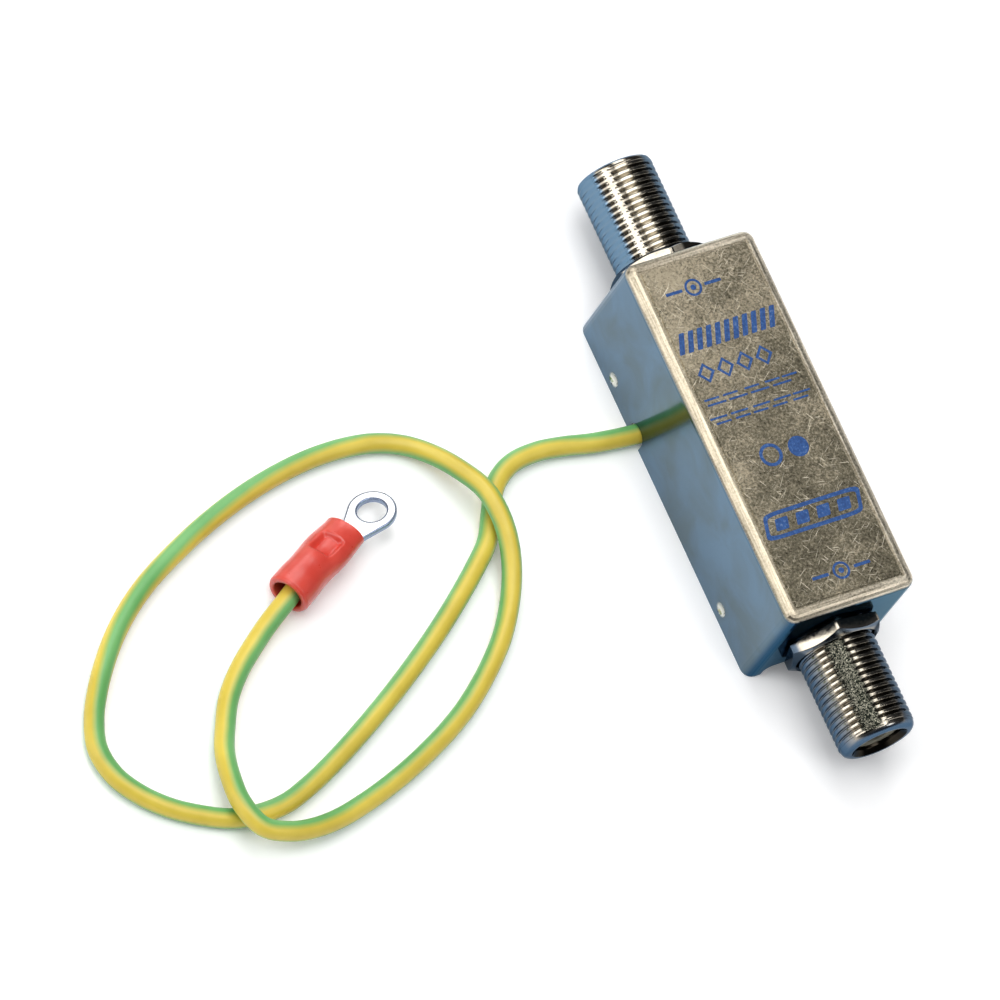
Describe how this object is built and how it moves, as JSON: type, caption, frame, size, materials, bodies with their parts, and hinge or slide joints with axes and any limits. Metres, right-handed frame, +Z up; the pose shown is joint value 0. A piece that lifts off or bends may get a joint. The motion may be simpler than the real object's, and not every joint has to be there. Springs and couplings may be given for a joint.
{
  "type": "coaxial line surge protector",
  "caption": "Inline coaxial surge protector: tinplate can, threaded socket with hex nut at each end, green and yellow earth lead with an insulated ring terminal.",
  "frame": {"origin": "on the table under the middle of the housing with its two sockets, the earth lead and its terminal left out", "axes": "+X across the housing, the earth lead leaves the -X wall; +Y along both sockets, out of the line socket; +Z up from the tray"},
  "size_m": [0.0976, 0.076, 0.0168],
  "materials": {
    "tinplate": "satin",
    "nickel": "gloss",
    "brass": "satin",
    "polyethylene": "matte",
    "ceramic": "gloss",
    "board": "matte",
    "enamelled_wire": "gloss",
    "dipped_coating": "matte",
    "epoxy": "matte",
    "wire_insulation": "gloss",
    "red_vinyl": "gloss",
    "tinned_copper": "satin"
  },
  "bodies": {
    "root": {"housing_can": "tinplate", "base_tray": "tinplate", "line_socket_shell": "nickel", "line_insulator": "polyethylene", "line_contact": "brass", "line_nut": "nickel", "line_lock_washer": "nickel", "equipment_socket_shell": "nickel", "equipment_insulator": "polyethylene", "equipment_contact": "brass", "equipment_nut": "nickel", "equipment_lock_washer": "nickel", "circuit_board": "board", "gas_tube_ceramic": "ceramic", "gas_tube_cap_left": "nickel", "gas_tube_cap_right": "nickel", "gas_tube_lead_left": "tinned_copper", "gas_tube_lead_right": "tinned_copper", "choke_coil": "enamelled_wire", "disc_capacitor_left": "dipped_coating", "disc_capacitor_right": "dipped_coating", "clamp_diode_left": "epoxy", "clamp_diode_right": "epoxy", "earth_tag": "tinned_copper", "earth_conductor": "tinned_copper", "earth_wire": "wire_insulation", "terminal_conductor": "tinned_copper", "ring_tongue": "tinned_copper", "terminal_sleeve": "red_vinyl"}
  },
  "joints": []
}
